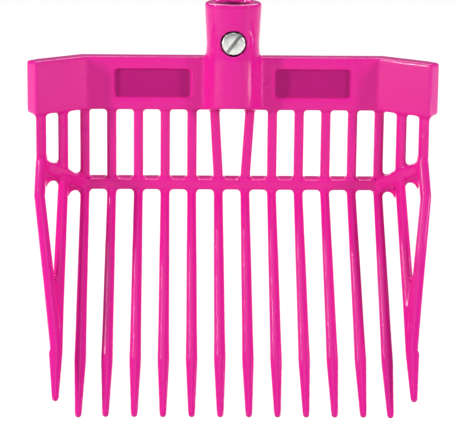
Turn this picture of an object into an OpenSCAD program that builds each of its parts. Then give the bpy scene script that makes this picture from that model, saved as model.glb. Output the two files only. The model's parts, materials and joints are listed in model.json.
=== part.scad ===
// Moulded basket fork head: a header with a handle socket, a grille of bars and a floor of tines.
// Origin at the centre of the socket mouth, +Z up the handle, -Y the hollow working side.

/* [Handle socket] */
// Bore that guides the handle, diameter
handle_bore_d = 25.4; // [24:0.1:27]
// Depth of the full-size guide land below the mouth
guide_land_len = 21; // [16:0.5:21.5]
// How much narrower the bore is below the guide land, on the radius
land_step = 0.3; // [0.2:0.05:0.6]
// Solid floor between the end of the bore and the bottom of the header
socket_floor = 6; // [4:0.5:12]
// Outside diameter at the mouth
socket_mouth_d = 38.8; // [38:0.1:42]
// Outside diameter at the neck, its narrowest place
socket_neck_d = 35.9; // [35:0.1:37]
// Height of the neck above the top edge of the header
neck_above_header = 8; // [6:0.5:12]
// Height of the mouth above the top edge of the header
socket_rise = 37.7; // [36:0.1:44]
// Rounding of the outer edge of the mouth
lip_round = 1.2; // [0.8:0.1:2]

/* [Handle bolt and nut] */
// Shank diameter of the bolt
bolt_d = 8; // [7:0.5:8]
// Length of the bolt under its head
bolt_len = 40; // [38:1:45]
// Distance of the bolt axis below the socket mouth
bolt_drop = 26.3; // [26:0.1:27]
// Diameter of the slotted head
head_d = 16; // [15:0.5:16.5]
// Height of the slotted head
head_h = 3.6; // [3:0.1:4.5]
// Width of the screwdriver slot
slot_w = 2; // [1.6:0.1:2.4]
// Depth of the screwdriver slot
slot_depth = 1.7; // [1.2:0.1:2]
// Direction of the slot from the horizontal, degrees
slot_angle = 54; // [0:1:180]
// Depth of the round seat for the head, from the crown of the socket
seat_depth = 3.6; // [3.2:0.1:4]
// Nut size across its flats
nut_across_flats = 13; // [12:0.5:13.5]
// Height of the nut
nut_h = 6.5; // [5:0.5:8]

/* [Header] */
// Height of the header
header_h = 36.3; // [34:0.5:44]
// Thickness of the header
header_t = 12.5; // [11:0.5:14]
// Distance of the front of the header ahead of the socket axis
front_ahead = 5; // [4:0.1:6]
// Width of the socket boss where it meets the front of the header
boss_base_w = 40.4; // [40:0.1:44]
// Radius of the round front of the socket boss
boss_r = 18.6; // [18.2:0.1:19]
// Width of each sunk pocket in the front
pocket_w = 53.2; // [40:0.5:56]
// Height of each sunk pocket
pocket_h = 20.2; // [14:0.5:24]
// Corner radius of each sunk pocket
pocket_r = 2.8; // [1:0.1:5]
// Depth of each sunk pocket
pocket_depth = 2.4; // [1:0.1:3]
// Distance from the socket boss to the pocket
pocket_from_boss = 8.2; // [6:0.1:12]
// Thickness of the front wall that the back cells leave
front_wall = 5.2; // [4.6:0.1:7]
// Thickness of the walls round the back cells
rim_wall = 3; // [2:0.1:4]
// Thickness of the ribs between the back cells
rib_t = 2.4; // [1.6:0.1:4]

/* [Wings] */
// Forward fold of each wing, degrees
wing_angle = 37; // [30:1:42]
// Width of each wing along its front
wing_w = 42; // [38:0.5:48]
// Slant of the end of each wing to its back, degrees
wing_end_slant = 4; // [0:1:8]

/* [Grille bars] */
// Width of a bar
bar_w = 6.2; // [5:0.1:7]
// Depth of a bar from front to back
bar_depth = 7; // [6:0.1:7.5]
// How far the bars lie behind the front of the header
bar_recess = 1; // [0.5:0.1:1.5]
// Height of the crowned front of a bar
bar_crown = 0.9; // [0.3:0.1:1.4]
// Clear height of the windows between header and cross bar
window_h = 48.7; // [40:0.1:56]
// Fillet in the corners of the windows
window_r = 1.4; // [0.8:0.1:1.8]
// Distance of the two splayed centre bars from the middle, at the header
splay_top_x = 12.3; // [10:0.1:13]

/* [Cross bar and side rails] */
// Height of the cross bar at its back
cross_h = 7.6; // [7:0.1:10]
// Fall of the top of the cross bar from back to front
cross_fall = 0.8; // [0.4:0.1:1.6]
// Slope of the side rails, seen from the front, degrees
rail_slope = 32; // [26:0.5:36]
// Height of the front of a side rail
rail_h = 7.8; // [7:0.1:8.5]
// Depth of the bevelled lower edge of a side rail
rail_bevel = 3; // [2:0.1:4]
// Fall of the top of a side rail from front to back
rail_fall = 2.2; // [1:0.1:3]
// Height from the top of a side rail to the tops of the round arches under it
arch_drop = 12.6; // [11.8:0.1:14]

/* [Tines] */
// Number of floor tines
tine_count = 12; // [12:2:12]
// Distance from tine to tine
tine_pitch = 18.5; // [17.5:0.1:20]
// Forward lean of the tines from the bars, degrees
tine_angle = 52; // [45:1:56]
// Length of a floor tine from the cross bar to its tip
tine_len = 186.5; // [170:0.5:220]
// Length of the tapered point of a floor tine
point_len = 44; // [35:1:60]
// Width of a tine at the cross bar
tine_root_w = 6.2; // [5.5:0.1:7]
// Width of a tine at its shoulder, where the point begins
shoulder_w = 7.4; // [6.4:0.1:8]
// Width of a tine at the end of its point
tip_w = 3.4; // [2.5:0.1:4.5]
// Depth of a tine at the cross bar
tine_root_depth = 8; // [7:0.1:8.5]
// Depth of a tine at its shoulder
shoulder_depth = 6.8; // [6:0.1:7.5]
// Depth of a tine at the end of its point
tip_depth = 3.4; // [2.5:0.1:4.5]

/* [Side tines] */
// Length of a side tine from its rail to its tip
side_len = 180; // [165:1:200]
// Length of the tapered point of a side tine
side_point_len = 37; // [30:1:48]
// Width of a side tine and an outer tine at the root
side_root_w = 6.8; // [6:0.1:7.2]
// Width of a side tine at its shoulder
side_shoulder_w = 8.4; // [7:0.1:9.2]
// Length of an outer tine from its root to its knee
knee_len = 30; // [24:1:40]

/* [Hidden] */
// Facets of a full round
$fn = 96;
// Overrun of every cut through a face
cut = 1;
// Steps across the round upper side of a tine
section_points = 8;
// Height of the round upper side as a share of the width of a tine
crown_share = 0.3;
// Fullness of the round upper side, 2 is a parabola
crown_power = 2.3;
// Width of the underside as a share of the width of a tine
draft_share = 0.9;
// The same for an outer tine
outer_under_share = 1.12;
// Bevel of the lower edges as a share of the width of a tine
edge_share = 0.14;
// Points across the crowned front of a bar
crown_points = 6;
// Share of the taper of a point that falls on its upper side
point_drop_share = 0.75;
// Stations along the rounded end of a point, as shares of its length
tip_round_shares = [0, 0.45, 0.75, 0.92, 0.99];
// Length of the rounded end of a point as a share of its width
tip_round_share = 0.7;
// Reach of the cutting blocks as a multiple of the header's thickness
reach_share = 40;
// Share of an outer tine's depth that it keeps at the merge
merge_depth_share = 0.95;

// Clearance round the bolt shank in the socket walls
bolt_hole_gap = 0.2;
// Running clearance between the shank and the nut
thread_gap = 0.05;
// Clearance round the bolt head in its seat
seat_gap = 0.8;
// Clearance of the nut in its pocket, each side
nut_gap = 0.2;
// Gap under the bolt head and under the nut
bearing_gap = 0.1;
// Rounding of the bolt head
head_round = 0.9;
// Bevel at the end of the bolt and on the nut
thread_bevel = 0.8;
// Bevel of the lower corners of the socket boss
boss_bevel = 3;
// How far the underside of the socket boss rises to its front and back
boss_lift = 3.2;
// Distance of the fold line inside the last floor tine
fold_inset = 1.65;
// How far the lofted roots run into what carries them
root_run = 14;
// Width of the fillets where the wing bars meet the side rails
wing_window_r = 2.4;
// How far the fillets run into the edge they stand on
fillet_run = rail_fall + wing_window_r;
// Height of the foot of an outer tine above the top of its rail
outer_foot_rise = 0.6;
// How far the upper side of a side tine starts below the front of its rail
root_drop = 0.25;
// How far before the shoulder of a side tine an outer tine has run into it
merge_before = 0.7;
// How far an outer tine lies above a side tine where they merge
merge_rise = 0.4;
// How far the last floor tines and the side tines drift towards the middle at their tips
fold_drift = 1;
side_drift = 1;
// How far the merge lies towards the middle from the axis of the side tine
merge_inset = 0.5;

y_front = -front_ahead;
y_back = header_t - front_ahead;
boss_half = boss_base_w / 2;
z_top = -socket_rise;
z_bottom = z_top - header_h;
z_cross_top = z_bottom - window_h;
z_cross_bottom = z_cross_top - cross_h;
tine_half = (tine_count - 1) / 2;
fold_x = tine_half * tine_pitch - fold_inset;
mitre = tan(wing_angle / 2);
rail_depth = header_t / cos(wing_angle);
wing_run = [cos(wing_angle), -sin(wing_angle)];
wing_corner = [fold_x, y_front] + wing_w * wing_run;
outer_x = wing_corner[0] - bar_w / 2;
side_x = (tine_half * tine_pitch + outer_x) / 2;
big = header_t * reach_share;

bore_r = handle_bore_d / 2;
neck_r = socket_neck_d / 2;
mouth_r = socket_mouth_d / 2;
z_neck = z_top + neck_above_header;
crown_r = neck_r + (mouth_r - neck_r) * (bolt_drop + z_neck) / z_neck;
seat_y = crown_r - seat_depth;

// Directions of a tine: along it, and square to it on its upper side
along = [0, -sin(tine_angle), -cos(tine_angle)];
upper = [0, -cos(tine_angle), sin(tine_angle)];

function tine_x(i) = (i - tine_half) * tine_pitch;
function front_y(x) = y_front - max(0, abs(x) - fold_x) * tan(wing_angle);
function rail_top_z(x) = z_cross_top - cross_fall + (abs(x) - fold_x) * tan(rail_slope);
function unit(v) = v / norm(v);
function two_digits(n) = n < 10 ? str("0", n) : str(n);

// One section of a tine: width w, depth d, its middle at c
// It has a round upper side, drafted flanks and a flat underside
function section(c, side, up, w, d, under_share = draft_share) =
    let (
        low = w / 2 * under_share,
        edge = w * edge_share,
        round_side = [for (i = [0:section_points])
            let (u = 1 - 2 * i / section_points)
            [u * w / 2, d / 2 - w * crown_share * pow(abs(u), crown_power)]],
        under = [[-low, edge - d / 2], [edge - low, -d / 2], [low - edge, -d / 2], [low, edge - d / 2]]
    ) [for (q = concat(round_side, under)) c + side * q[0] + up * q[1]];

// Width or depth that runs evenly from a to b
function between(a, b, share) = a + (b - a) * share;

// Sections of a straight tine whose upper side starts at p, with a tapered and rounded point
// It drifts inwards on its way
function tine_sections(p, len, point, w0, w1, d0, body_drift, tip_drift) =
    let (
        side = [1, 0, 0],
        body = len - point,
        round_len = tip_w * tip_round_share,
        taper = len - round_len,
        drop = (shoulder_depth - tip_depth) * point_drop_share,
        run = along - side * body_drift / body,
        tip = along - side * tip_drift / len
    ) concat(
        [for (s = [-root_run, 0, body])
            let (share = max(0, s) / body, d = between(d0, shoulder_depth, share))
            section(p + run * s - upper * d / 2, side, upper, between(w0, w1, share), d)],
        [for (q = tip_round_shares)
            let (shrink = sqrt(1 - q * q), d = tip_depth * shrink, w = tip_w * shrink)
            section(p + tip * (taper + round_len * q) - upper * (drop + tip_depth / 2), side, upper, w, d)]
    );

// Closed skin over a list of sections
module loft(rings) {
    n = len(rings[0]);
    last = (len(rings) - 1) * n;
    sides = [
        for (j = [0:len(rings) - 2], i = [0:n - 1])
            let (a = j * n + i, b = j * n + (i + 1) % n)
            each [[a, b + n, b], [a, a + n, b + n]]
    ];
    first_cap = [for (i = [1:n - 2]) [0, i, i + 1]];
    last_cap = [for (i = [1:n - 2]) [last, last + i + 1, last + i]];
    polyhedron(points = [for (r = rings) each r], faces = concat(sides, first_cap, last_cap));
}

// Mirrors its children to the left for a negative side
module on_side(side) {
    if (side < 0) mirror([1, 0, 0]) children();
    else children();
}

// Places its children in the frame of the right wing: X along its front, Y to its back
module in_wing() {
    translate([fold_x, y_front, 0]) rotate([0, 0, -wing_angle]) children();
}

// Plate behind the right front from y0 to y1, through all heights
module front_strip(y0, y1) {
    x1 = outer_x + bar_w;
    translate([0, 0, -big]) linear_extrude(big)
        polygon([[0, y_front + y0], [fold_x, y_front + y0], [x1, front_y(x1) + y0],
                 [x1, front_y(x1) + y1], [fold_x, y_front + y1], [0, y_front + y1]]);
}

// Concave corner of radius r at x and z; toward is the side it runs to, rise is 1 to stand and -1 to hang
module corner_fillet(x, z, r, toward, rise, run) {
    translate([x, big / 2, z]) rotate([90, 0, 0]) linear_extrude(big)
        mirror([toward < 0 ? 1 : 0, 0]) mirror([0, rise < 0 ? 1 : 0])
            difference() {
                translate([-cut, -run]) square([r + cut, r + run]);
                translate([r, r]) circle(r);
            }
}

// Round-cornered rectangle about the origin
module rounded_rect(w, h, r) {
    square([w - 2 * r, h], center = true);
    square([w, h - 2 * r], center = true);
    for (x = [-1, 1], y = [-1, 1]) translate([x * (w / 2 - r), y * (h / 2 - r)]) circle(r);
}

// Handle socket

// Section of the boss: the round front and back with flanks tangent to them
module boss_section() {
    circle(boss_r);
    for (y = [y_front, y_back]) {
        reach = norm([boss_half, y]);
        swing = sign(y) * (atan2(abs(y), boss_half) + acos(boss_r / reach));
        touch = boss_r * [cos(swing), sin(swing)];
        polygon([[boss_half, 0], [boss_half, y], touch, [-touch[0], touch[1]],
                 [-boss_half, y], [-boss_half, 0]]);
    }
}

module boss() {
    translate([-boss_half, y_front, z_bottom]) cube([boss_base_w, header_t, header_h]);
    intersection() {
        translate([0, 0, z_bottom]) linear_extrude(header_h) boss_section();
        translate([0, big / 2, 0]) rotate([90, 0, 0]) linear_extrude(big)
            polygon([[-boss_half, z_top], [-boss_half, z_bottom + boss_bevel],
                     [-boss_half + boss_bevel, z_bottom], [boss_half - boss_bevel, z_bottom],
                     [boss_half, z_bottom + boss_bevel], [boss_half, z_top]]);
        translate([-big / 2, 0, 0]) rotate([90, 0, 90]) linear_extrude(big)
            polygon([[-boss_r, z_top], [-boss_r, z_bottom + boss_lift], [y_front, z_bottom],
                     [y_back, z_bottom], [boss_r, z_bottom + boss_lift], [boss_r, z_top]]);
    }
}

module socket_neck() {
    rotate_extrude()
        difference() {
            polygon([[0, z_top], [boss_r, z_top], [neck_r, z_neck], [mouth_r, -lip_round],
                     [mouth_r, 0], [0, 0]]);
            translate([mouth_r - lip_round, -lip_round])
                difference() {
                    square(lip_round + cut);
                    circle(lip_round);
                }
        }
}

module handle_socket() {
    color("deeppink") difference() {
        union() {
            boss();
            socket_neck();
        }
        translate([0, 0, -guide_land_len]) cylinder(r = bore_r, h = guide_land_len + cut);
        translate([0, 0, z_bottom + socket_floor])
            cylinder(r = bore_r - land_step, h = -z_bottom - socket_floor - guide_land_len + cut / 2);
        translate([0, 0, -bolt_drop]) rotate([90, 0, 0]) {
            translate([0, 0, -mouth_r - cut])
                cylinder(d = bolt_d + 2 * bolt_hole_gap, h = 2 * (mouth_r + cut));
            translate([0, 0, seat_y]) cylinder(d = head_d + 2 * seat_gap, h = seat_depth + mouth_r);
            translate([0, 0, -seat_y - seat_depth - mouth_r])
                cylinder(d = (nut_across_flats + 2 * nut_gap) / cos(30), h = seat_depth + mouth_r, $fn = 6);
        }
    }
}

// Bolt and nut

module handle_bolt() {
    color("silver") translate([0, 0, -bolt_drop]) rotate([90, 0, 0]) {
        translate([0, 0, seat_y + bearing_gap]) difference() {
            rotate_extrude() {
                difference() {
                    square([head_d / 2, head_h]);
                    translate([head_d / 2 - head_round, head_h - head_round])
                        difference() {
                            square(head_round + cut);
                            circle(head_round);
                        }
                }
            }
            rotate([0, 0, slot_angle]) translate([-head_d, -slot_w / 2, head_h - slot_depth])
                cube([2 * head_d, slot_w, slot_depth + cut]);
        }
        rotate_extrude()
            polygon([[0, seat_y + head_h / 2], [bolt_d / 2, seat_y + head_h / 2],
                     [bolt_d / 2, seat_y - bolt_len + thread_bevel],
                     [bolt_d / 2 - thread_bevel, seat_y - bolt_len], [0, seat_y - bolt_len]]);
    }
}

module lock_nut() {
    corner_r = nut_across_flats / 2 / cos(30);
    color("gainsboro") translate([0, seat_y + bearing_gap, -bolt_drop]) rotate([-90, 0, 0])
        difference() {
            intersection() {
                cylinder(r = corner_r, h = nut_h, $fn = 6);
                rotate_extrude()
                    polygon([[0, 0], [corner_r, 0], [corner_r, nut_h - thread_bevel],
                             [nut_across_flats / 2, nut_h], [0, nut_h]]);
            }
            translate([0, 0, -cut]) cylinder(r = bolt_d / 2 + thread_gap, h = nut_h + 2 * cut);
        }
}

// Header panels and wings

// One back cell from x0 to x1 in a plate whose back is at y_back
module back_cell(x0, x1, y_back) {
    depth = header_t - front_wall;
    translate([x0, y_back - depth, z_bottom + rim_wall])
        cube([x1 - x0, depth + cut, header_h - 2 * rim_wall]);
}

module panel(side) {
    pocket_x = boss_half + pocket_from_boss + pocket_w / 2;
    edges = concat([boss_half + rim_wall - rib_t / 2],
        [for (i = [tine_count / 2 + 2:tine_count - 2]) tine_x(i)], [fold_x - rim_wall + rib_t / 2]);
    color("deeppink") on_side(side) difference() {
        translate([0, 0, z_bottom]) linear_extrude(header_h)
            polygon([[boss_half, y_front], [fold_x, y_front], [fold_x + header_t * mitre, y_back],
                     [boss_half, y_back]]);
        translate([pocket_x, y_front + pocket_depth, (z_top + z_bottom) / 2]) rotate([90, 0, 0])
            linear_extrude(pocket_depth + cut) rounded_rect(pocket_w, pocket_h, pocket_r);
        for (i = [0:len(edges) - 2]) back_cell(edges[i] + rib_t / 2, edges[i + 1] - rib_t / 2, y_back);
    }
}

module wing(side) {
    slant = header_t * tan(wing_end_slant);
    second = (side_x - fold_x) / cos(wing_angle);
    color("hotpink") on_side(side) in_wing() difference() {
        translate([0, 0, z_bottom]) linear_extrude(header_h)
            polygon([[0, 0], [wing_w, 0], [wing_w - slant, header_t], [-header_t * mitre, header_t]]);
        back_cell(rim_wall / 2, second - rib_t / 2, header_t);
        back_cell(second + rib_t / 2, wing_w - slant - rim_wall, header_t);
    }
}

// Cross bar and side rails

module cross_bar_solid() {
    reach = fold_x + header_t * mitre;
    intersection() {
        translate([-reach, 0, 0]) rotate([90, 0, 90]) linear_extrude(2 * reach)
            polygon([[y_front, z_cross_bottom], [y_front, z_cross_top - cross_fall],
                     [y_back, z_cross_top], [y_back, z_cross_bottom]]);
        translate([0, 0, z_cross_bottom]) linear_extrude(cross_h)
            polygon([[-fold_x, y_front], [fold_x, y_front], [reach, y_back], [-reach, y_back]]);
    }
}

module cross_bar() {
    color("hotpink") cross_bar_solid();
}

// Section of the right side rail at x: a front, a bevelled lower edge and a flat back
function rail_section(x) =
    let (y0 = y_front - (x - fold_x) * tan(wing_angle), y1 = y0 + rail_depth, z = rail_top_z(x))
    [[x, y0, z - rail_h], [x, y0 + rail_bevel, z - rail_h - rail_bevel], [x, y1, z - rail_h - rail_bevel],
     [x, y1, z - rail_fall], [x, y0, z]];

// Everything on the wing side of the mitre, above the bottom of the cross bar
module wing_side() {
    translate([0, 0, z_cross_bottom]) linear_extrude(big)
        polygon([[fold_x, y_front], [fold_x + big, y_front - big], [fold_x + big, y_back],
                 [fold_x + header_t * mitre, y_back]]);
}

// The right rail before it is mitred to the cross bar
module rail_body() {
    loft([rail_section(fold_x - header_t), rail_section(outer_x)]);
}

module right_rail() {
    intersection() {
        rail_body();
        wing_side();
    }
    intersection() {
        union() {
            half_arch(tine_half * tine_pitch + tine_root_w / 2, inner_arch, 1);
            half_arch(side_x - side_root_w / 2, inner_arch, -1);
            half_arch(side_x + side_root_w / 2, outer_arch, 1);
            half_arch(outer_x - side_root_w / 2, outer_arch, -1);
        }
        front_strip(rail_bevel, rail_depth - rail_bevel);
    }
}

// One half of an arch under the rail, from the side of a tine at x to the middle of the arch
module half_arch(x, middle, toward) {
    corner_fillet(x, arch_z(middle), abs(middle - x), toward, -1, arch_drop / 2);
}

module rail_solid(side) {
    on_side(side) right_rail();
}

module side_rail(side) {
    color("hotpink") rail_solid(side);
}

// Grille bars

// Plan of a bar about x: a crowned front, straight sides and a flat back, turned with its wing by a slope
function bar_plan(x, z, slope) =
    let (w = bar_w / 2, back = bar_recess + bar_depth, y = slope == 0 ? y_front : front_y(x))
    concat(
        [for (i = [0:crown_points])
            let (u = 2 * i / crown_points - 1)
            [x + u * w, y - u * w * slope + bar_recess + bar_crown * u * u, z]],
        [[x + w, y - w * slope + back, z], [x - w, y + w * slope + back, z]]
    );

module bar_body(x_top, x_low, z_low, slope = 0) {
    loft([bar_plan(x_low, z_low, slope), bar_plan(x_top, z_bottom, slope)]);
}

// Height of the edge that the bars stand on
function foot_z(x) = abs(x) > fold_x ? rail_top_z(x) : z_cross_top;

// Fillets on the given sides of a bar on the right, at its head and at its foot
module bar_fillets(x_top, x, r, heads, feet) {
    intersection() {
        union() {
            for (s = heads) corner_fillet(x_top + s * bar_w / 2, z_bottom, window_r, s, -1, cut);
            for (s = feet)
                let (edge = x + s * bar_w / 2)
                corner_fillet(edge, foot_z(edge + s * r), r, s, 1, fillet_run);
        }
        front_strip(bar_recess + bar_crown, bar_recess + bar_depth - bar_crown);
    }
}

module floor_bar(i) {
    x = abs(tine_x(i));
    x_top = x < tine_pitch ? splay_top_x : x;
    at_fold = x > fold_x - bar_w;
    run_in = cross_h / 2;
    lean = (x_top - x) / (window_h + cross_fall);
    color("hotpink") on_side(tine_x(i)) difference() {
        union() {
            bar_body(x_top, x - lean * run_in, z_cross_top - cross_fall - run_in);
            bar_fillets(x_top, x, window_r, [-1, 1], at_fold ? [-1] : [-1, 1]);
        }
        above(z_bottom);
        cross_bar_solid();
        if (at_fold) rail_body();
    }
}

module wing_bar(side, x) {
    at_end = x > side_x + bar_w;
    foot = at_end ? outer_foot_z() : rail_top_z(x) - rail_h / 2;
    color("hotpink") on_side(side) difference() {
        union() {
            bar_body(x, x, foot, tan(wing_angle));
            bar_fillets(x, x, wing_window_r, at_end ? [-1] : [-1, 1], at_end ? [] : [-1, 1]);
        }
        above(z_bottom);
        rail_solid(1);
    }
}

function outer_foot_z() = rail_top_z(outer_x) + outer_foot_rise;

// Tines

// Everything above a level, and everything behind the back of the cross bar
module above(z) {
    translate([-big / 2, -big / 2, z]) cube([big, big, big]);
}

module behind(y) {
    translate([-big / 2, y, -big]) cube([big, big, 2 * big]);
}

module floor_tine(i) {
    x = abs(tine_x(i));
    at_fold = x > fold_x - bar_w;
    p = [x, front_y(x), z_cross_bottom];
    edge = tine_root_w / 2;
    color("deeppink") on_side(tine_x(i)) difference() {
        union() {
            loft(tine_sections(p, tine_len, point_len, tine_root_w, shoulder_w, tine_root_depth,
                at_fold ? fold_drift : 0, at_fold ? fold_drift : 0));
            intersection() {
                for (s = at_fold ? [-1] : [-1, 1])
                    corner_fillet(x + s * edge, z_cross_bottom, window_r, s, -1, cut);
                front_strip(rail_bevel, header_t - rail_bevel);
            }
        }
        above(z_cross_bottom);
        behind(y_back);
        if (at_fold) rail_solid(1);
    }
}

// Middles of the two arches under a side rail, and their height
inner_arch = (tine_half * tine_pitch + side_x) / 2;
outer_arch = (side_x + outer_x) / 2;
function arch_z(x) = rail_top_z(x) - arch_drop;

// Start of the upper side of a side tine, at the lower edge of its rail's front
side_start = [side_x, front_y(side_x), rail_top_z(side_x) - rail_h - root_drop];
// Where the outer tine runs into the side tine, on the middle of its shoulder
merge = side_start + along * (side_len - side_point_len - merge_before)
    - upper * (shoulder_depth / 2 - merge_rise) - [merge_inset, 0, 0];
// Root, knee and directions of the outer tine
outer_start = [outer_x, front_y(outer_x), outer_foot_z()] - upper * tine_root_depth / 2;
knee = outer_start + along * knee_len;
outer_run = unit(merge - knee);
// Normal of the plane that parts the side tine from the outer tine
parting = unit(along - outer_run);

// Sections of the outer tine: down to the knee with the other tines, then across to the merge
function outer_sections() =
    let (
        turn = unit(along + outer_run),
        knee_up = unit(cross([1, 0, 0], turn)),
        low_up = unit(cross([1, 0, 0], outer_run)),
        low_side = cross(outer_run, low_up),
        mean_depth = between(tine_root_depth, shoulder_depth, 1 / 2)
    ) [
        section(outer_start - along * root_run, [1, 0, 0], upper, side_root_w, tine_root_depth,
            outer_under_share),
        section(knee, [1, 0, 0], -knee_up, side_root_w, tine_root_depth, outer_under_share),
        section((knee + merge) / 2, low_side, -low_up, side_root_w, mean_depth, outer_under_share),
        section(merge, low_side, -low_up, side_root_w, shoulder_depth * merge_depth_share, outer_under_share)
    ];

// Half space on the outer side of the parting plane, down to the merge
module outer_half() {
    v = unit(cross(parting, along));
    w = cross(parting, v);
    multmatrix([[parting[0], v[0], w[0], merge[0]], [parting[1], v[1], w[1], merge[1]],
                [parting[2], v[2], w[2], merge[2]], [0, 0, 0, 1]])
        translate([0, -big / 2, w * along > 0 ? -big : 0]) cube([big, big, big]);
}

module side_tine(side) {
    color("deeppink") on_side(side) difference() {
        loft(tine_sections(side_start, side_len, side_point_len, side_root_w, side_shoulder_w,
            tine_root_depth, 0, side_drift));
        rail_solid(1);
        above(side_start[2] + rail_bevel / 2);
        side_back_cut();
        outer_half();
    }
}

// Trims the root of a tine behind its side rail
module side_back_cut() {
    difference() {
        translate([0, y_front - big, -big]) cube([big, 2 * big, 2 * big]);
        translate([0, 0, big]) front_strip(-big, rail_depth);
        front_strip(-big, rail_depth);
    }
}

module outer_tine(side) {
    color("deeppink") on_side(side) difference() {
        intersection() {
            loft(outer_sections());
            outer_half();
        }
        above(outer_foot_z());
        side_back_cut();
        rail_solid(1);
    }
}

handle_socket();
panel(-1);  // left_panel
panel(1);  // right_panel
wing(-1);  // left_wing
wing(1);  // right_wing
cross_bar();
side_rail(-1);  // left_side_rail
side_rail(1);  // right_side_rail
for (i = [0:tine_count - 1]) {
    floor_bar(i);
    floor_tine(i);
}
wing_bar(-1, side_x);  // left_wing_bar
wing_bar(1, side_x);  // right_wing_bar
wing_bar(-1, outer_x);  // left_end_bar
wing_bar(1, outer_x);  // right_end_bar
side_tine(-1);  // left_side_tine
side_tine(1);  // right_side_tine
outer_tine(-1);  // left_outer_tine
outer_tine(1);  // right_outer_tine
handle_bolt();
lock_nut();
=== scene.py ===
"""Looks of a moulded manure fork head: its skin, bolt, nut and mould marks, a studio and a camera."""

import json
import logging
import math
from collections.abc import Iterable, Sequence
from dataclasses import dataclass, field
from enum import Enum

import bmesh
import bpy
import numpy as np
from mathutils import Matrix, Vector
from mathutils.bvhtree import BVHTree

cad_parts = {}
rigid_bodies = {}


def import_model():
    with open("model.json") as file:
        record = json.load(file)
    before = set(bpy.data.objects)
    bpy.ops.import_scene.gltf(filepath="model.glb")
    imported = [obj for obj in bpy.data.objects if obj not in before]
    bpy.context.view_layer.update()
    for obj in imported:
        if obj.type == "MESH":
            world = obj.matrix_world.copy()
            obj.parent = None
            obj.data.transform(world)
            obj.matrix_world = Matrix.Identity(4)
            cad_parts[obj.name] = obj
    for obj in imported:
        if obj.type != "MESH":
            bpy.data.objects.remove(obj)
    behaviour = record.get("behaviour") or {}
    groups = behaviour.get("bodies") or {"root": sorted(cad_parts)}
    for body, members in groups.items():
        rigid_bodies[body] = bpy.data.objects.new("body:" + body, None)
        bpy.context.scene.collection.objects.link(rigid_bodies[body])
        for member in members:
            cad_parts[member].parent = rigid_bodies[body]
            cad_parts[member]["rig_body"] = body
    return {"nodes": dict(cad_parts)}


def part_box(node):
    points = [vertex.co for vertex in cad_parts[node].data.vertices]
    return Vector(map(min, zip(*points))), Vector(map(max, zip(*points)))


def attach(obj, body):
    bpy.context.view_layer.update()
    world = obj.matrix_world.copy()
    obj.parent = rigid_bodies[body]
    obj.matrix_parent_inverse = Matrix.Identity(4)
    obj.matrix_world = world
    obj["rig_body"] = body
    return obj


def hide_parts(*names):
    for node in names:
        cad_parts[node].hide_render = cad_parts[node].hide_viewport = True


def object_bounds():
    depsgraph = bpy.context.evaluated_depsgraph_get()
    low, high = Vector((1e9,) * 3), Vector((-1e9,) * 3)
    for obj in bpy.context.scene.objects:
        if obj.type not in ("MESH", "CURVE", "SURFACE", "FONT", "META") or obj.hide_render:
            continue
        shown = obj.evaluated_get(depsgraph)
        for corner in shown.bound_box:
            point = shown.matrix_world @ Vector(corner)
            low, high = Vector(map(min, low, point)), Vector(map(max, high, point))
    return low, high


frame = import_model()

CAD_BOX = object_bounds()
MM = 0.001
WELD = 0.001 * MM
LOG = logging.getLogger("fork_head")

Pair = tuple[float, float]
Triple = tuple[float, float, float]


class Body(Enum):
    """The bodies of the frame that pieces ride on."""

    HEAD = "fork_head"
    BOLT = "handle_bolt"
    NUT = "lock_nut"


class Slot(Enum):
    """The record's material slots."""

    PLASTIC = "head_plastic"
    BOLT = "bolt_steel"
    NUT = "nut_steel"


class Zone(Enum):
    """The parts of the skin that a step of its shaping is kept to."""

    FILLETED = "filleted"
    ROUNDED = "rounded"
    WING_ENDS = "wing_ends"
    TINE_TIPS = "tine_tips"
    BARS = "bars"
    MOUTH = "mouth"
    PIN_MARKS = "pin_marks"


class Surface(Enum):
    """The moulding's kinds of surface, in the order of their materials; pocket floors, bore and seats carry
    painted shade.
    """

    POLISHED = 0
    POCKET = 1
    BORE = 2
    SEAT = 3


def linear(code: str) -> tuple[float, float, float, float]:
    """Turns an sRGB hex colour into a linear one, by the standard's own curve.

    Args:
        code: Colour such as #E6007A.

    Returns:
        Red, green, blue and alpha.
    """
    shares = [int(code[i:i + 2], 16) / 255 for i in (1, 3, 5)]
    rgb = [s / 12.92 if s <= 0.04045 else ((s + 0.055) / 1.055) ** 2.4 for s in shares]
    return (*rgb, 1.0)


def add_node(tree: bpy.types.NodeTree, kind: str, inputs: dict[str | int, object] | None = None,
             **settings: object) -> bpy.types.Node:
    """Adds one node with its settings, values and links.

    Args:
        tree: Node tree that takes the node.
        kind: Type of the node.
        inputs: Value, or output socket to link, for each input by name or number.
        settings: Properties of the node.

    Returns:
        The new node.
    """
    node = tree.nodes.new(kind)
    for name, value in settings.items():
        setattr(node, name, value)
    for name, value in (inputs or {}).items():
        if isinstance(value, bpy.types.NodeSocket):
            tree.links.new(value, node.inputs[name])
        else:
            node.inputs[name].default_value = value
    return node


def new_material(name: str) -> tuple[bpy.types.Material, bpy.types.NodeTree, bpy.types.Node]:
    """Makes an empty node material.

    Args:
        name: Name of the material.

    Returns:
        The material, its tree and its output node.
    """
    material = bpy.data.materials.new(name)
    material.use_nodes = True
    tree = material.node_tree
    tree.nodes.clear()
    return material, tree, add_node(tree, "ShaderNodeOutputMaterial")


def add_piece(name: str, mesh: bpy.types.Mesh, material: bpy.types.Material | None = None) -> bpy.types.Object:
    """Puts a mesh into the scene as an object at the origin.

    Args:
        name: Name of the piece.
        mesh: Its mesh, in the frame's own place.
        material: Its only material.

    Returns:
        The new object.
    """
    mesh.name = name
    piece = bpy.data.objects.new(name, mesh)
    bpy.context.scene.collection.objects.link(piece)
    if material:
        mesh.materials.clear()
        mesh.materials.append(material)
    return piece


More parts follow.
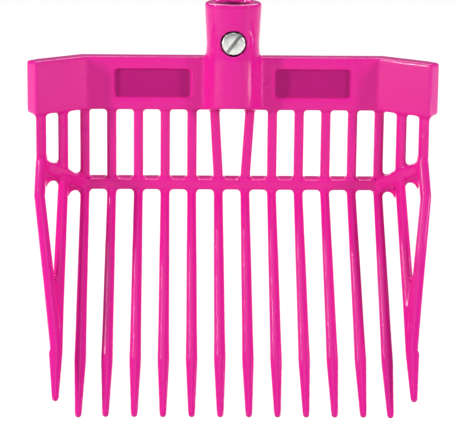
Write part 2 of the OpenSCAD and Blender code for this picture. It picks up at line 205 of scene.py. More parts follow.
def mesh_of(shape: bmesh.types.BMesh, name: str, smooth: bool = True) -> bpy.types.Mesh:
    """Turns a bmesh into a mesh and frees it.

    Args:
        shape: The bmesh.
        name: Name of the mesh.
        smooth: Whether its faces are shaded smooth.

    Returns:
        The new mesh.
    """
    mesh = bpy.data.meshes.new(name)
    for face in shape.faces:
        face.smooth = smooth
    shape.to_mesh(mesh)
    shape.free()
    return mesh


def evaluated(piece: bpy.types.Object) -> bpy.types.Mesh:
    """Gives the mesh that an object's modifiers make."""
    depsgraph = bpy.context.evaluated_depsgraph_get()
    return bpy.data.meshes.new_from_object(piece.evaluated_get(depsgraph), depsgraph=depsgraph)


def middle(node: str) -> Vector:
    """Gives the middle of a node's box at rest."""
    return sum(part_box(node), Vector()) / 2


def lathe(profile: Sequence[Pair], centre: Vector, steps: int) -> bmesh.types.BMesh:
    """Turns a profile about a line along Y.

    Args:
        profile: Radius and Y of each point, in metres, from axis to axis.
        centre: A point on the line.
        steps: Faces around it.

    Returns:
        A closed round shape.
    """
    shape = bmesh.new()
    verts = [shape.verts.new((centre.x + r, y, centre.z)) for r, y in profile]
    edges = [shape.edges.new(pair) for pair in zip(verts, verts[1:])]
    bmesh.ops.spin(shape, geom=verts + edges, cent=centre, axis=(0, 1, 0), dvec=(0, 0, 0),
                   angle=math.tau, steps=steps, use_merge=True)
    bmesh.ops.remove_doubles(shape, verts=shape.verts, dist=WELD)
    bmesh.ops.recalc_face_normals(shape, faces=shape.faces)
    return shape


def combine(solid: bpy.types.Object, tool: bpy.types.Object, operation: str) -> None:
    """Cuts or trims a shape with another one.

    Args:
        solid: The shape.
        tool: The other shape.
        operation: Kind of the boolean.
    """
    cut = solid.modifiers.new("cut", "BOOLEAN")
    cut.object, cut.operation, cut.solver = tool, operation, "EXACT"


def ease_edges(solid: bpy.types.Object, width: float, angle_deg: float) -> None:
    """Adds a small bevel along a shape's sharp edges.

    Args:
        solid: The shape.
        width: Width of the bevel.
        angle_deg: Least angle of an edge that gets it.
    """
    edges = solid.modifiers.new("edges", "BEVEL")
    edges.width, edges.segments, edges.limit_method = width, 2, "ANGLE"
    edges.angle_limit = math.radians(angle_deg)


@dataclass(frozen=True)
class MouldedPolypropylene:
    """Injection-moulded polypropylene from a polished tool."""

    # Polished moulding gives the eye a glossy, slightly wavy surface in an even dye. The grain is drawn
    # coarser than the real one, so that it shows.
    name: str = "pink_moulded_polypropylene"
    colour: str = "#E6209C"
    flow_colour: str = "#DF1E97"
    roughness: Pair = (0.05, 0.11)
    ior: float = 1.49
    specular: float = 0.15
    flow_mm: float = 22.0
    wave_mm: float = 7.0
    wave_height_mm: float = 0.05
    grain_mm: float = 1.1
    grain_height_mm: float = 0.01

    def build(self) -> bpy.types.Material:
        """Makes the material: dye flow in the colour, scuffs in the gloss, waves and grain in the bump.

        Returns:
            The material.
        """
        material, tree, out = new_material(self.name)
        place = add_node(tree, "ShaderNodeTexCoord").outputs["Object"]
        flow = add_node(tree, "ShaderNodeTexNoise", {
            "Vector": place, "Scale": 1 / (self.flow_mm * MM), "Detail": 3.0, "Roughness": 0.55})
        colour = add_node(tree, "ShaderNodeMix", {
            "Factor": flow.outputs["Fac"], 6: linear(self.colour), 7: linear(self.flow_colour)},
            data_type="RGBA")
        scuff = add_node(tree, "ShaderNodeTexNoise", {
            "Vector": place, "Scale": 1 / (self.wave_mm * MM), "Detail": 5.0, "Roughness": 0.6})
        gloss = add_node(tree, "ShaderNodeMapRange", {
            "Value": scuff.outputs["Fac"], "From Min": 0.3, "From Max": 0.7,
            "To Min": self.roughness[0], "To Max": self.roughness[1]})
        grain = add_node(tree, "ShaderNodeTexNoise", {
            "Vector": place, "Scale": 1 / (self.grain_mm * MM), "Detail": 2.0, "Roughness": 0.5})
        wave = add_node(tree, "ShaderNodeBump", {
            "Height": scuff.outputs["Fac"], "Strength": 0.3, "Distance": self.wave_height_mm * MM})
        bump = add_node(tree, "ShaderNodeBump", {
            "Height": grain.outputs["Fac"], "Strength": 0.15, "Distance": self.grain_height_mm * MM,
            "Normal": wave.outputs["Normal"]})
        shader = add_node(tree, "ShaderNodeBsdfPrincipled", {
            "Base Color": colour.outputs[2], "Roughness": gloss.outputs["Result"], "IOR": self.ior,
            "Specular IOR Level": self.specular, "Normal": bump.outputs["Normal"]})
        tree.links.new(shader.outputs["BSDF"], out.inputs["Surface"])
        return material


@dataclass(frozen=True)
class PlatedSteel:
    """Turned and zinc-plated steel."""

    # Turning and plating give the eye a bright grey metal with fine rings and dull handling marks. The
    # rings are drawn wider apart than real ones, so that they show.
    name: str
    colour: str = "#C2C4C0"
    roughness: Pair = (0.2, 0.4)
    ring_mm: float = 0.55
    ring_height_mm: float = 0.02
    mark_mm: float = 2.2
    # Width of one ring of the wave texture at scale 1
    texture_ring: float = 0.314

    def build(self, centre: Vector) -> bpy.types.Material:
        """Makes the material with its rings about a line along Y.

        Args:
            centre: A point on the line.

        Returns:
            The material.
        """
        material, tree, out = new_material(self.name)
        place = add_node(tree, "ShaderNodeTexCoord").outputs["Object"]
        about = add_node(tree, "ShaderNodeMapping", {
            "Vector": place, "Location": (-centre.x, 0, -centre.z)})
        rings = add_node(tree, "ShaderNodeTexWave", {
            "Vector": about.outputs["Vector"], "Scale": self.texture_ring / (self.ring_mm * MM),
            "Distortion": 0.6, "Detail": 2.0}, wave_type="RINGS", rings_direction="Y")
        marks = add_node(tree, "ShaderNodeTexNoise", {
            "Vector": place, "Scale": 1 / (self.mark_mm * MM), "Detail": 4.0})
        gloss = add_node(tree, "ShaderNodeMapRange", {
            "Value": marks.outputs["Fac"], "From Min": 0.3, "From Max": 0.7,
            "To Min": self.roughness[0], "To Max": self.roughness[1]})
        bump = add_node(tree, "ShaderNodeBump", {
            "Height": rings.outputs["Fac"], "Strength": 0.25, "Distance": self.ring_height_mm * MM})
        shader = add_node(tree, "ShaderNodeBsdfPrincipled", {
            "Base Color": linear(self.colour), "Metallic": 1.0, "Roughness": gloss.outputs["Result"],
            "Normal": bump.outputs["Normal"]})
        tree.links.new(shader.outputs["BSDF"], out.inputs["Surface"])
        return material


@dataclass
class Moulding:
    """The one-piece plastic head: a skin with moulded radii over all its members."""

    # Fineness of the skin, radius of its inner corners, and passes of smoothing on its outer edges
    voxel_mm: float = 0.5
    fillet_mm: float = 1.8
    smoothing: int = 12
    regrowth_mm: float = 0.2
    # Fillets start this far off a pocket or a seat, and are full this much further on
    fillet_clear_mm: float = 1.0
    fillet_fade_mm: float = 3.0
    # Fuller tine points
    tip_growth_mm: float = 0.55
    tip_reach_mm: float = 60.0
    # Rounder outer ends of the wings
    end_smoothing: int = 70
    end_reach_mm: float = 7.0
    end_fade_mm: float = 3.0
    end_margin_mm: float = 0.5
    # Rounder grille bars, from just clear of the cross bar and the panels
    bar_smoothing: int = 24
    bar_fade_mm: float = 4.0
    bar_start: float = 0.5
    # Sunk pockets in the panels: middle, size, and depths between which their floor lies
    pocket_x_mm: float = 55.0
    pocket_mm: Pair = (53.2, 20.2)
    pocket_floor_mm: Pair = (1.6, 3.2)
    pocket_margin_mm: float = 0.5
    pocket_reach_mm: float = 4.0
    # Seats of bolt and nut, which keep their edges
    seat_r_mm: float = 9.5
    seat_fade_mm: float = 0.5
    seat_rim_mm: float = 0.6
    # Bore of the socket and the rounder lip of its mouth
    bore_r_mm: float = 13.1
    bore_lip_mm: float = 1.5
    bore_floor_mm: float = 1.0
    mouth_smoothing: int = 30
    mouth_reach_mm: float = 3.5
    mouth_fade_mm: float = 2.0
    # Marks of the tool's ejector pins
    pin_depth_mm: float = 0.22
    pin_r_mm: float = 2.4
    pins_mm: tuple[Triple, ...] = (
        (-130.7, -27.0, -85.6), (-102.8, -4.0, -87.1), (100.4, -4.0, -85.3), (130.7, -27.0, -85.6),
        (-101.2, -5.8, -53.3), (22.8, -5.0, -53.3))
    finish: MouldedPolypropylene = field(default_factory=MouldedPolypropylene)
    # The tool is etched in the pockets, which gives a duller floor; the floor's darker colour is painted shade
    pocket_etch_and_painted_shade: MouldedPolypropylene = field(default_factory=lambda: MouldedPolypropylene(
        "etched_painted_shade_pocket_polypropylene", colour="#B8177C", flow_colour="#AE1576", roughness=(0.35, 0.5)))
    # Painted shade: a darker colour and duller gloss in the bore, where little light gets in
    bore_painted_shade: MouldedPolypropylene = field(default_factory=lambda: MouldedPolypropylene(
        "painted_shade_bore_polypropylene", colour="#94166A", flow_colour="#8A1464", roughness=(0.3, 0.45)))
    # Painted shade: a dark, dull ring in the gaps round the bolt and the nut
    seat_painted_shade: MouldedPolypropylene = field(default_factory=lambda: MouldedPolypropylene(
        "painted_shade_seat_polypropylene", colour="#3A0E2C", flow_colour="#300C24", roughness=(0.5, 0.7)))
    pieces: list[bpy.types.Object] = field(default_factory=list)

    def members(self) -> list[str]:
        """Names the nodes of the head's body."""
        return sorted(n for n, o in frame["nodes"].items() if o["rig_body"] == Body.HEAD.value)

    def gather(self, names: Iterable[str]) -> tuple[bmesh.types.BMesh, list[int]]:
        """Joins copies of the members.

        Args:
            names: The members' nodes.

        Returns:
            One bmesh, and the number of the member that each of its faces belongs to.
        """
        joined, owners = bmesh.new(), []
        for number, name in enumerate(names):
            member = bmesh.new()
            member.from_mesh(frame["nodes"][name].data)
            bmesh.ops.remove_doubles(member, verts=member.verts, dist=WELD)
            mesh = mesh_of(member, "member")
            joined.from_mesh(mesh)
            owners += [number] * len(mesh.polygons)
            bpy.data.meshes.remove(mesh)
        return joined, owners

    def grow(self, solid: bpy.types.Object, growth_mm: float, zone: Zone) -> None:
        """Moves a shape's surface outwards.

        Args:
            solid: The shape.
            growth_mm: How far, negative for inwards.
            zone: Zone that it is kept to.
        """
        push = solid.modifiers.new("growth", "DISPLACE")
        push.mid_level = 0.0
        push.strength = growth_mm * MM
        push.vertex_group = zone.value

    def round_off(self, solid: bpy.types.Object, passes: int, zone: Zone) -> None:
        """Smooths a shape's edges.

        Args:
            solid: The shape.
            passes: How often each vertex moves halfway to its neighbours' middle.
            zone: Zone that it is kept to.
        """
        smooth = solid.modifiers.new("radii", "SMOOTH")
        smooth.factor = 0.5
        smooth.iterations = passes
        smooth.vertex_group = zone.value

    def weigh(self, solid: bpy.types.Object, zone: Zone, weights: np.ndarray) -> None:
        """Adds a zone's vertex group, in ten steps of weight.

        Args:
            solid: The shape.
            zone: The zone.
            weights: Weight of each vertex, from 0 to 1.
        """
        group = solid.vertex_groups.new(name=zone.value)
        steps = np.round(np.clip(weights, 0, 1) * 10).astype(int)
        for step in range(1, 11):
            group.add(np.nonzero(steps == step)[0].tolist(), step / 10, "REPLACE")

    def spots(self, solid: bpy.types.Object) -> np.ndarray:
        """Lists the places of a shape's vertices.

        Args:
            solid: The shape.

        Returns:
            X, Y and Z of all vertices as three rows.
        """
        places = np.zeros(len(solid.data.vertices) * 3, np.float32)
        solid.data.vertices.foreach_get("co", places)
        return places.reshape(-1, 3).T

    def off_pocket(self, x: np.ndarray, z: np.ndarray) -> np.ndarray:
        """Says how far places lie outside the outline of the nearer pocket.

        Args:
            x: Their X in millimetres.
            z: Their Z in millimetres.

        Returns:
            Distances in millimetres, negative inside.
        """
        return np.maximum(np.abs(np.abs(x) - self.pocket_x_mm) - self.pocket_mm[0] / 2,
                          np.abs(z - middle("left_panel").z / MM) - self.pocket_mm[1] / 2)

    def off_bolt(self, x: np.ndarray, z: np.ndarray) -> np.ndarray:
        """Gives the distance in millimetres of places from the bolt's axis."""
        axis = middle("handle_bolt") / MM
        return np.hypot(x - axis.x, z - axis.z)

    def filleted_share(self, spots: np.ndarray) -> np.ndarray:
        """Says where inner corners get a fillet: all over but in the pockets and the seats of bolt and nut.

        Args:
            spots: X, Y and Z of each vertex.

        Returns:
            Share from 0 to 1 for each vertex.
        """
        x, y, z = spots / MM
        in_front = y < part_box("left_panel")[0].y / MM + self.pocket_reach_mm
        off = np.where(in_front, self.off_pocket(x, z), np.inf)
        off = np.minimum(off, self.off_bolt(x, z) - self.seat_r_mm)
        return np.clip((off - self.fillet_clear_mm) / self.fillet_fade_mm, 0, 1)

    def mark_zones(self, solid: bpy.types.Object) -> None:
        """Adds the zones that the last steps of the shaping are kept to.

        Args:
            solid: The skin.
        """
        x, y, z = self.spots(solid)
        low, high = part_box("left_wing")
        margin = self.end_margin_mm * MM
        on_wing = (z > low.z - margin) & (z < high.z + margin)
        past = np.abs(x) + low.x + self.end_reach_mm * MM
        self.weigh(solid, Zone.WING_ENDS, on_wing * past / (self.end_fade_mm * MM))
        self.weigh(solid, Zone.TINE_TIPS, 1 - (y - CAD_BOX[0].y) / (self.tip_reach_mm * MM))
        clear = np.minimum(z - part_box("cross_bar")[1].z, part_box("left_panel")[0].z - z)
        self.weigh(solid, Zone.BARS, clear / (self.bar_fade_mm * MM) - self.bar_start)
        self.weigh(solid, Zone.MOUTH, 1 + (z + self.mouth_reach_mm * MM) / (self.mouth_fade_mm * MM))
        self.weigh(solid, Zone.ROUNDED, self.off_bolt(x / MM, z / MM) - self.seat_r_mm + self.seat_fade_mm)
        pins = [np.hypot(np.hypot(x - px * MM, y - py * MM), z - pz * MM) for px, py, pz in self.pins_mm]
        self.weigh(solid, Zone.PIN_MARKS, 1.0 * (np.min(pins, axis=0) < self.pin_r_mm * MM))

    def skin(self, joined: bmesh.types.BMesh) -> bpy.types.Mesh:
        """Makes one closed skin over the joined members, with its edges and corners rounded.

        Growing and shrinking by the same length leaves a fillet in each inner corner; smoothing rounds the
        outer edges, and a last small growth gives back what it takes off thin members.

        Args:
            joined: The joined members.

        Returns:
            The skin's mesh.
        """
        solid = add_piece("joined_members", mesh_of(joined, "joined_members"))
        for growth in (0.0, self.fillet_mm, -self.fillet_mm):
            if growth:
                self.weigh(solid, Zone.FILLETED, self.filleted_share(self.spots(solid)))
                self.grow(solid, growth, Zone.FILLETED)
            remesh = solid.modifiers.new("skin", "REMESH")
            remesh.mode = "VOXEL"
            remesh.voxel_size = self.voxel_mm * MM
            made = evaluated(solid)
            bpy.data.objects.remove(solid)
            solid = add_piece("joined_members", made)
            solid.vertex_groups.clear()
        self.mark_zones(solid)
        self.round_off(solid, self.smoothing, Zone.ROUNDED)
        self.round_off(solid, self.end_smoothing, Zone.WING_ENDS)
        self.round_off(solid, self.bar_smoothing, Zone.BARS)
        self.round_off(solid, self.mouth_smoothing, Zone.MOUTH)
        self.grow(solid, self.regrowth_mm, Zone.ROUNDED)
        self.grow(solid, self.tip_growth_mm, Zone.TINE_TIPS)
        self.grow(solid, self.regrowth_mm / 2, Zone.BARS)
        self.grow(solid, -self.pin_depth_mm, Zone.PIN_MARKS)
        made = evaluated(solid)
        bpy.data.objects.remove(solid)
        return made

    def split(self, skin: bpy.types.Mesh, tree: BVHTree, owners: list[int], names: list[str]) -> None:
        """Parts the skin into one closed piece for each member, with the whole skin's shading.

        Args:
            skin: The skin's mesh.
            tree: Search tree over the members' faces.
            owners: Number of the member of each of those faces.
            names: The members' nodes.
        """
        normals = np.zeros(len(skin.vertices) * 3, np.float32)
        skin.vertices.foreach_get("normal", normals)
        skin.attributes.new("skin_normal", "FLOAT_VECTOR", "POINT").data.foreach_set("vector", normals)
        centres = np.zeros(len(skin.polygons) * 3, np.float32)
        skin.polygons.foreach_get("center", centres)
        # Each member's name goes on a stand-in material, by which the skin is parted
        for name in names:
            skin.materials.append(bpy.data.materials.new(name))
        skin.polygons.foreach_set("material_index", [
            owners[tree.find_nearest(centre)[2]] for centre in centres.reshape(-1, 3).tolist()])
        whole = add_piece("whole_skin", skin)
        bpy.ops.object.select_all(action="DESELECT")
        whole.select_set(True)
        bpy.context.view_layer.objects.active = whole
        bpy.ops.object.mode_set(mode="EDIT")
        bpy.ops.mesh.separate(type="MATERIAL")
        bpy.ops.object.mode_set(mode="OBJECT")
        materials = self.materials()
        for piece in list(bpy.context.selected_objects):
            tag = piece.data.materials[0]
            name = tag.name
            self.close(piece.data)
            self.dress(piece.data, materials)
            bpy.data.materials.remove(tag)
            piece.name = piece.data.name = f"{name}_skin"
            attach(piece, Body.HEAD.value)
            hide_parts(name)
            self.pieces.append(piece)

    def close(self, mesh: bpy.types.Mesh) -> None:
        """Closes the cuts of one piece and gives it the whole skin's shading.

        Args:
            mesh: Mesh of the piece.
        """
        part = bmesh.new()
        part.from_mesh(mesh)
        bmesh.ops.holes_fill(part, edges=[e for e in part.edges if e.is_boundary], sides=0)
        for face in part.faces:
            face.smooth = True
        part.to_mesh(mesh)
        part.free()
        normals = np.zeros(len(mesh.vertices) * 3, np.float32)
        mesh.attributes["skin_normal"].data.foreach_get("vector", normals)
        mesh.attributes.remove(mesh.attributes["skin_normal"])
        mesh.normals_split_custom_set_from_vertices(normals.reshape(-1, 3).tolist())

    def materials(self) -> tuple[bpy.types.Material, ...]:
        """Makes the materials in the order of the kinds of surface."""
        return tuple(f.build() for f in (self.finish, self.pocket_etch_and_painted_shade, self.bore_painted_shade, self.seat_painted_shade))

    def dress(self, mesh: bpy.types.Mesh, materials: tuple[bpy.types.Material, ...]) -> None:
        """Gives each kind of surface on a mesh its material: the polished finish, or the painted shade of
        pocket floors, bore and seats.

        Args:
            mesh: Mesh of the skin or of a piece of it.
            materials: The materials in the order of the kinds of surface.
        """
        mesh.materials.clear()
        centres = np.zeros(len(mesh.polygons) * 3, np.float32)
        mesh.polygons.foreach_get("center", centres)
        x, y, z = centres.reshape(-1, 3).T / MM
        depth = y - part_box("left_panel")[0].y / MM
        pocket = self.off_pocket(x, z) < -self.pocket_margin_mm
        pocket &= (depth > self.pocket_floor_mm[0]) & (depth < self.pocket_floor_mm[1])
        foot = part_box("handle_socket")[0].z / MM + self.bore_floor_mm
        bore = (np.hypot(x, y) < self.bore_r_mm) & (z < -self.bore_lip_mm) & (z > foot)
        seat = self.off_bolt(x, z) < self.seat_r_mm - self.seat_rim_mm
        # Seats and bore take painted shade; pocket floors take an etched finish with painted shade
        kinds = np.select([seat, bore, pocket], [s.value for s in (Surface.SEAT, Surface.BORE, Surface.POCKET)],
                          Surface.POLISHED.value)
        used, places = np.unique(kinds, return_inverse=True)
        for kind in used:
            mesh.materials.append(materials[kind])
        mesh.polygons.foreach_set("material_index", places.astype(np.int32))

    def build(self) -> list[bpy.types.Object]:
        """Makes the skin and dresses it.

        Returns:
            The pieces.
        """
        names = self.members()
        joined, owners = self.gather(names)
        tree = BVHTree.FromBMesh(joined)
        self.split(self.skin(joined), tree, owners, names)
        return self.pieces


@dataclass
class HandleBolt:
    """The slotted steel bolt through the socket."""

    head_d: float = 16 * MM
    head_h: float = 3.6 * MM
    shank_d: float = 8 * MM
    rim_ease: float = 0.2 * MM
    edge_ease: float = 0.14 * MM
    edge_deg: float = 40.0
    sharp_deg: float = 35.0
    # How far in from the rim and behind the face each point of the head's crown lies
    crown_mm: tuple[Pair, ...] = ((4.0, 0.03), (1.1, 0.12), (0.6, 0.3), (0.2, 0.7), (0.0, 1.3))
    slot_w: float = 2 * MM
    slot_depth: float = 1.7 * MM
    slot_deg: float = 54.0
    # The faces of the slot that take its painted shade: below its bright rim, and a little past its floor and
    # walls
    slot_shade_from: float = 0.25 * MM
    slot_shade_past_floor: float = 0.05 * MM
    slot_shade_past_wall: float = 0.02 * MM
    slot_shade_off_rim: float = 0.1 * MM
    pitch: float = 1.25 * MM
    thread_len: float = 24 * MM
    thread_depth: float = 0.62 * MM
    thread_runout: float = 0.6 * MM
    # The ridge's foot sinks into the core, its crest stays inside the shank, and its turns don't touch
    ridge_sink: float = 0.05 * MM
    ridge_gap: float = 0.02 * MM
    ridge_share: float = 0.48
    crest_share: float = 0.15
    ridge_steps: int = 28
    steps: int = 96
    finish: PlatedSteel = field(default_factory=lambda: PlatedSteel("zinc_plated_bolt_steel"))
    # Painted shade: a darker, duller colour in the slot, whose walls and floor lie in shade
    slot_painted_shade: PlatedSteel = field(default_factory=lambda: PlatedSteel(
        "painted_shade_slot_steel", colour="#949290", roughness=(0.4, 0.6)))

    def slot_turn(self, size: int) -> Matrix:
        """Gives the slot's turn about the axis, as a matrix of 3 or 4 rows."""
        return Matrix.Rotation(-math.radians(self.slot_deg), size, "Y")

    def head_and_shank(self, centre: Vector, front: float, back: float) -> bmesh.types.BMesh:
        """Turns the head and the shank with its thread core.

        Args:
            centre: A point on the axis.
            front: Y of the head's face.
            back: Y of the shank's end.

        Returns:
            The turned shape.
        """
        r, under, shank = self.head_d / 2, front + self.head_h, self.shank_d / 2
        core, start, runout = shank - self.thread_depth, back - self.thread_len, self.thread_runout
        crown = [(r - inward * MM, front + behind * MM) for inward, behind in self.crown_mm]
        return lathe([
            (0, front), *crown, (r, under - self.rim_ease), (r - self.rim_ease, under), (shank, under),
            (shank, start), (core, start + runout), (core, back - runout), (core - runout, back), (0, back)],
            centre, self.steps)

    def slot_cutter(self, centre: Vector, front: float) -> bmesh.types.BMesh:
        """Makes the block that cuts the slot.

        Args:
            centre: A point on the axis.
            front: Y of the head's face.

        Returns:
            The block, turned to the slot's angle.
        """
        block = bmesh.new()
        size = Matrix.Diagonal((self.head_d * 1.2, self.slot_depth * 2, self.slot_w, 1))
        place = Matrix.Translation((centre.x, front, centre.z))
        bmesh.ops.create_cube(block, size=1, matrix=place @ self.slot_turn(4) @ size)
        return block

    def thread(self, centre: Vector, back: float) -> bmesh.types.BMesh:
        """Winds the thread's ridge round its core.

        Args:
            centre: A point on the axis.
            back: Y of the shank's end.

        Returns:
            The ridge, closed at both ends.
        """
        ridge, turns = bmesh.new(), int(self.thread_len / self.pitch) - 1
        foot = self.shank_d / 2 - self.thread_depth - self.ridge_sink
        crest, half = self.shank_d / 2 - self.ridge_gap, self.pitch * self.ridge_share
        start, flat = back - self.thread_len + self.thread_runout, half * self.crest_share
        rows = [(foot, -half), (crest, -flat), (crest, flat), (foot, half)]
        face = ridge.faces.new([ridge.verts.new((centre.x + r, start + s, centre.z)) for r, s in rows])
        bmesh.ops.spin(ridge, geom=[face], cent=centre, axis=(0, 1, 0),
                       dvec=(0, self.pitch / self.ridge_steps, 0), angle=math.tau * turns,
                       steps=turns * self.ridge_steps)
        bmesh.ops.recalc_face_normals(ridge, faces=ridge.faces)
        return ridge

    def shape(self, centre: Vector, front: float, back: float) -> bpy.types.Mesh:
        """Makes the bolt's mesh: turned, slotted, eased and threaded.

        Args:
            centre: A point on the axis.
            front: Y of the head's face.
            back: Y of the shank's end.

        Returns:
            The mesh.
        """
        body = add_piece("bolt_body", mesh_of(self.head_and_shank(centre, front, back), "bolt_body"))
        cutter = add_piece("slot_cutter", mesh_of(self.slot_cutter(centre, front), "slot_cutter", False))
        combine(body, cutter, "DIFFERENCE")
        ease_edges(body, self.edge_ease, self.edge_deg)
        both = bmesh.new()
        both.from_mesh(evaluated(body))
        both.from_mesh(mesh_of(self.thread(centre, back), "thread"))
        for spent in (body, cutter):
            bpy.data.objects.remove(spent)
        mesh = mesh_of(both, "handle_bolt_steel")
        mesh.set_sharp_from_angle(angle=math.radians(self.sharp_deg))
        return mesh

    def is_in_slot_shade(self, spot: Vector) -> bool:
        """Says whether a face belongs to the slot and takes its painted shade.

        Args:
            spot: Its middle, seen from the middle of the head's face.

        Returns:
            Whether it lies in the slot's painted shade.
        """
        across = self.slot_turn(3) @ Vector((0, 0, 1))
        sunk = self.slot_shade_from < spot.y < self.slot_depth + self.slot_shade_past_floor
        inside = spot.xz.length < self.head_d / 2 - self.slot_shade_off_rim
        return sunk and inside and abs(spot @ across) < self.slot_w / 2 + self.slot_shade_past_wall

    def build(self) -> list[bpy.types.Object]:
        """Makes the bolt and dresses it.

        Returns:
            The pieces.
        """
        (low, high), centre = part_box("handle_bolt"), middle("handle_bolt")
        mesh = self.shape(centre, low.y, high.y)
        steel = add_piece("handle_bolt_steel", mesh, self.finish.build(centre))
        mesh.materials.append(self.slot_painted_shade.build(centre))
        # The slot's faces take the painted shade
        for face in mesh.polygons:
            face.material_index = int(self.is_in_slot_shade(face.center - Vector((centre.x, low.y, centre.z))))
        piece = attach(steel, Body.BOLT.value)
        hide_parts("handle_bolt")
        return [piece]


@dataclass
class LockNut:
    """The hexagon nut in the pocket on the socket's back."""

    across_flats: float = 13 * MM
    bore_d: float = 8.1 * MM
    bore_lead: float = 0.5 * MM
    # The chamfer's cones run from just inside the flats to past the corners
    chamfer_deg: float = 30.0
    chamfer_from: float = 0.97
    chamfer_to: float = 1.2
    edge_ease: float = 0.12 * MM
    edge_deg: float = 25.0
    sharp_deg: float = 30.0
    steps: int = 72
    finish: PlatedSteel = field(default_factory=lambda: PlatedSteel("zinc_plated_nut_steel", colour="#B6B9B7"))

    def hexagon(self, centre: Vector, front: float, back: float) -> bmesh.types.BMesh:
        """Makes the six-sided block.

        Args:
            centre: A point on the axis.
            front: Y of its front face.
            back: Y of its back face.

        Returns:
            The block, two of its corners on the X axis.
        """
        block, half_side = bmesh.new(), math.radians(30)
        lay = Matrix.Translation((centre.x, front, centre.z)) @ Matrix.Rotation(math.radians(-90), 4, "X")
        corner = self.across_flats / 2 / math.cos(half_side)
        bmesh.ops.create_circle(block, cap_ends=True, segments=6, radius=corner,
                                matrix=lay @ Matrix.Rotation(half_side, 4, "Z"))
        grown = bmesh.ops.extrude_face_region(block, geom=block.faces[:])
        bmesh.ops.translate(block, verts=[v for v in grown["geom"] if isinstance(v, bmesh.types.BMVert)],
                            vec=(0, back - front, 0))
        bmesh.ops.recalc_face_normals(block, faces=block.faces)
        return block

    def turned_ring(self, centre: Vector, front: float, back: float) -> bmesh.types.BMesh:
        """Turns the ring whose cones chamfer the corners and whose hole is the bore.

        Args:
            centre: A point on the axis.
            front: Y of the front face.
            back: Y of the back face.

        Returns:
            The ring.
        """
        flat, far = (self.across_flats / 2 * share for share in (self.chamfer_from, self.chamfer_to))
        rise = (far - flat) * math.tan(math.radians(self.chamfer_deg))
        bore, lead = self.bore_d / 2, self.bore_lead
        return lathe([
            (bore, front + lead), (bore + lead, front), (flat, front), (far, front + rise), (far, back - rise),
            (flat, back), (bore + lead, back), (bore, back - lead), (bore, front + lead)], centre, self.steps)

    def build(self) -> list[bpy.types.Object]:
        """Makes the nut and dresses it.

        Returns:
            The pieces.
        """
        (low, high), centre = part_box("lock_nut"), middle("lock_nut")
        block = add_piece("nut_block", mesh_of(self.hexagon(centre, low.y, high.y), "nut_block", False))
        ring = add_piece("nut_ring", mesh_of(self.turned_ring(centre, low.y, high.y), "nut_ring"))
        combine(block, ring, "INTERSECT")
        ease_edges(block, self.edge_ease, self.edge_deg)
        mesh = evaluated(block)
        for spent in (block, ring):
            bpy.data.objects.remove(spent)
        mesh.shade_smooth()
        mesh.set_sharp_from_angle(angle=math.radians(self.sharp_deg))
        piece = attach(add_piece("lock_nut_steel", mesh, self.finish.build(centre)), Body.NUT.value)
        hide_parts("lock_nut")
        return [piece]


@dataclass(frozen=True)
class Lamp:
    """One soft box or card: its place, aim, size and power, and whether it shows only in reflections."""

    name: str
    place: Triple
    aim: Triple
    size: Pair
    watts: float
    colour: str = "#FFFBF3"
    mirrored_only: bool = False

    def build(self) -> bpy.types.Object:
        """Hangs the lamp.

        Returns:
            Its object.
        """
        light = bpy.data.lights.new(self.name, "AREA")
        light.shape, light.energy, light.color = "RECTANGLE", self.watts, linear(self.colour)[:3]
        light.size, light.size_y = self.size
        lamp = bpy.data.objects.new(self.name, light)
        bpy.context.scene.collection.objects.link(lamp)
        lamp.location = self.place
        lamp.visible_diffuse = not self.mirrored_only
        lamp.rotation_mode = "QUATERNION"
        lamp.rotation_quaternion = (Vector(self.aim) - Vector(self.place)).to_track_quat("-Z", "Y")
        return lamp


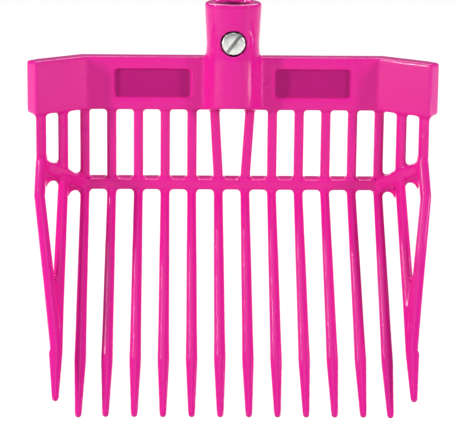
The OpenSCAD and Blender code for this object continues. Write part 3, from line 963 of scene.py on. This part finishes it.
@dataclass
class Studio:
    """A white floor that keeps a faint shadow, an even white surround, soft boxes and reflecting cards."""

    floor_size: float = 40.0
    floor_gap: float = 0.2 * MM
    # What the floor throws back onto the object and to the camera, and its own white in view and in gloss
    floor_albedo: Pair = (0.7, 0.12)
    floor_glow: Pair = (0.95, 1.0)
    surround: float = 0.34
    shade: str = "#F0F4FF"
    # Reflections see a white cove up to a low height and a dim room above it: height and level
    reflected: tuple[Pair, ...] = ((0.0, 0.9), (0.12, 0.2), (0.4, 0.2), (0.8, 0.5))
    lamps: tuple[Lamp, ...] = (
        Lamp("overhead_box", (0.0, -0.55, 1.2), (0.0, -0.3, -0.12), (0.44, 1.1), 3.2),
        Lamp("front_box", (0.0, -1.6, 0.9), (0.0, -0.03, -0.05), (1.2, 0.5), 2.2),
        Lamp("back_box", (0.0, 1.05, 0.72), (0.0, 0.0, -0.08), (1.0, 0.3), 9.0),
        Lamp("left_strip", (-1.38, -0.64, 0.22), (0.0, -0.03, -0.1), (0.05, 0.3), 15.0),
        Lamp("right_strip", (1.36, -0.68, 0.33), (0.0, -0.03, -0.1), (0.08, 0.3), 11.5),
        Lamp("right_card", (0.21, -0.06, -0.088), (0.02, -0.03, -0.088), (0.07, 0.026), 0.05,
             mirrored_only=True),
        Lamp("left_card", (-0.69, 0.29, 0.83), (0.0, -0.1, -0.2), (0.7, 0.08), 12.0, mirrored_only=True),
    )

    def lay_floor(self) -> None:
        """Lays the floor just under the tines."""
        shape = bmesh.new()
        bmesh.ops.create_grid(shape, x_segments=1, y_segments=1, size=self.floor_size / 2,
                              matrix=Matrix.Translation((0, 0, CAD_BOX[0].z - self.floor_gap)))
        material, tree, out = new_material("white_studio_floor")
        path = add_node(tree, "ShaderNodeLightPath").outputs
        albedo = add_node(tree, "ShaderNodeMix", {
            "Factor": path["Is Camera Ray"], 2: self.floor_albedo[0], 3: self.floor_albedo[1]})
        seen = add_node(tree, "ShaderNodeMath", {
            0: path["Is Camera Ray"], 1: self.floor_glow[0]}, operation="MULTIPLY")
        glow = add_node(tree, "ShaderNodeMath", {
            0: path["Is Glossy Ray"], 1: self.floor_glow[1], 2: seen.outputs[0]}, operation="MULTIPLY_ADD")
        plain = add_node(tree, "ShaderNodeBsdfDiffuse", {"Color": albedo.outputs[0]})
        white = add_node(tree, "ShaderNodeEmission", {"Strength": glow.outputs[0]})
        both = add_node(tree, "ShaderNodeAddShader", {0: plain.outputs[0], 1: white.outputs[0]})
        tree.links.new(both.outputs[0], out.inputs["Surface"])
        floor = add_piece("studio_floor", mesh_of(shape, "studio_floor", False), material)

    def surround_it(self) -> None:
        """Sets up the world: white to the camera, an even light, and a cove in reflections."""
        world = bpy.data.worlds.new("white_surround")
        bpy.context.scene.world = world
        world.use_nodes = True
        tree = world.node_tree
        tree.nodes.clear()
        path = add_node(tree, "ShaderNodeLightPath").outputs
        place = add_node(tree, "ShaderNodeTexCoord").outputs["Generated"]
        aim = add_node(tree, "ShaderNodeSeparateXYZ", {0: place})
        cove = add_node(tree, "ShaderNodeValToRGB", {"Fac": aim.outputs["Z"]})
        for stop in self.reflected[1:-1]:
            cove.color_ramp.elements.new(stop[0])
        for element, (height, level) in zip(cove.color_ramp.elements, self.reflected):
            element.position, element.color = height, (level, level, level, 1)
        lit = add_node(tree, "ShaderNodeMix", {
            "Factor": path["Is Glossy Ray"], 2: self.surround, 3: cove.outputs[0]})
        strength = add_node(tree, "ShaderNodeMath", {
            0: lit.outputs[0], 1: path["Is Camera Ray"]}, operation="MAXIMUM")
        tint = add_node(tree, "ShaderNodeMix", {
            "Factor": path["Is Camera Ray"], 6: linear(self.shade), 7: (1, 1, 1, 1)}, data_type="RGBA")
        sky = add_node(tree, "ShaderNodeBackground", {
            "Color": tint.outputs[2], "Strength": strength.outputs[0]})
        add_node(tree, "ShaderNodeOutputWorld", {"Surface": sky.outputs[0]})

    def build(self) -> None:
        """Sets up the floor, the world and the lamps."""
        self.lay_floor()
        self.surround_it()
        for lamp in self.lamps:
            lamp.build()


@dataclass(frozen=True)
class PhotoCamera:
    """The photograph's view: place in millimetres, focal length in pixels and the camera's own axes."""

    place_mm: Triple = (-36.68, -1570.62, 211.86)
    focal_px: float = 2308.0
    width_px: int = 465
    sensor_mm: float = 36.0
    clip: Pair = (0.05, 100.0)
    right: Triple = (0.99972, -0.0216, 0.01002)
    down: Triple = (0.00483, -0.22788, -0.97368)
    ahead: Triple = (0.02332, 0.97345, -0.22772)

    def build(self) -> bpy.types.Object:
        """Sets up the camera and gives it to the scene.

        Returns:
            The camera's object.
        """
        data = bpy.data.cameras.new("photo_camera")
        data.sensor_fit, data.sensor_width = "HORIZONTAL", self.sensor_mm
        data.lens = self.focal_px * data.sensor_width / self.width_px
        data.clip_start, data.clip_end = self.clip
        camera = bpy.data.objects.new("photo_camera", data)
        bpy.context.scene.collection.objects.link(camera)
        axes = Matrix((self.right, [-x for x in self.down], [-x for x in self.ahead])).transposed()
        place = Vector(self.place_mm) * MM
        camera.matrix_world = Matrix.Translation(place) @ axes.to_4x4()
        bpy.context.scene.camera = camera
        return camera


def main() -> None:
    """Builds every sub-assembly, the studio and the camera."""
    logging.basicConfig(level=logging.INFO, format="%(name)s: %(message)s")
    bpy.context.scene.view_settings.view_transform = "Standard"
    PhotoCamera().build()
    Studio().build()
    for part in (Moulding(), HandleBolt(), LockNut()):
        for piece in part.build():
            LOG.info("%s has %d faces", piece.name, len(piece.data.polygons))


if __name__ == "__main__":
    main()
